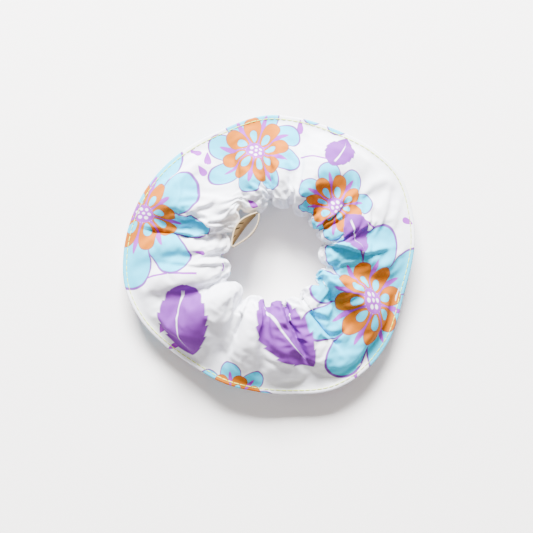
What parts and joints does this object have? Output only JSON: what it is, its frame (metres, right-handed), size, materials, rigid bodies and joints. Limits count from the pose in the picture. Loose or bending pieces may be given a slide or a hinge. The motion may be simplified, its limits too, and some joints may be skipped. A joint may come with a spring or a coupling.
{
  "type": "fabric scrunchie",
  "caption": "Gathered cotton hair scrunchie with a flat topstitched outer rim, a hidden elastic loop and a folded tape label at the hair opening.",
  "frame": {"origin": "on the flat that the scrunchie rests on, at the centre of the ring", "axes": "+Z is the ring's axis and points out of the front ply; +Y points to the side of the ring that is uppermost when it hangs"},
  "size_m": [0.118, 0.118, 0.024],
  "materials": {
    "printed_cotton": "matt plain-weave cotton poplin, white with a large printed floral",
    "white_thread": "matt spun polyester sewing thread",
    "neon_thread": "satin yellow-green polyester sewing thread",
    "knitted_elastic": "matt white knitted elastic, flat, with rubber strands inside",
    "label_tape": "matt woven cotton tape, unbleached"
  },
  "bodies": {
    "cover": {"front_ply": "printed_cotton", "back_ply": "printed_cotton", "outer_seam_thread": "white_thread", "inner_seam_thread": "white_thread", "topstitch_needle_thread": "neon_thread", "topstitch_bobbin_thread": "white_thread", "closing_seam_thread": "white_thread"},
    "elastic": {"elastic": "knitted_elastic", "elastic_lap_thread": "white_thread"},
    "label": {"label": "label_tape"}
  },
  "joints": [
    {"name": "elastic_slip", "type": "hinge", "parent": "cover", "child": "elastic", "pos_m": [0, 0, 0.012], "axis": [0, 0, 1], "continuous": true},
    {"name": "label_swing", "type": "hinge", "parent": "cover", "child": "label", "pos_m": [-0.00497, 0.01624, 0.012], "axis": [0, 0, 1], "range_deg": [0, 100]}
  ]
}
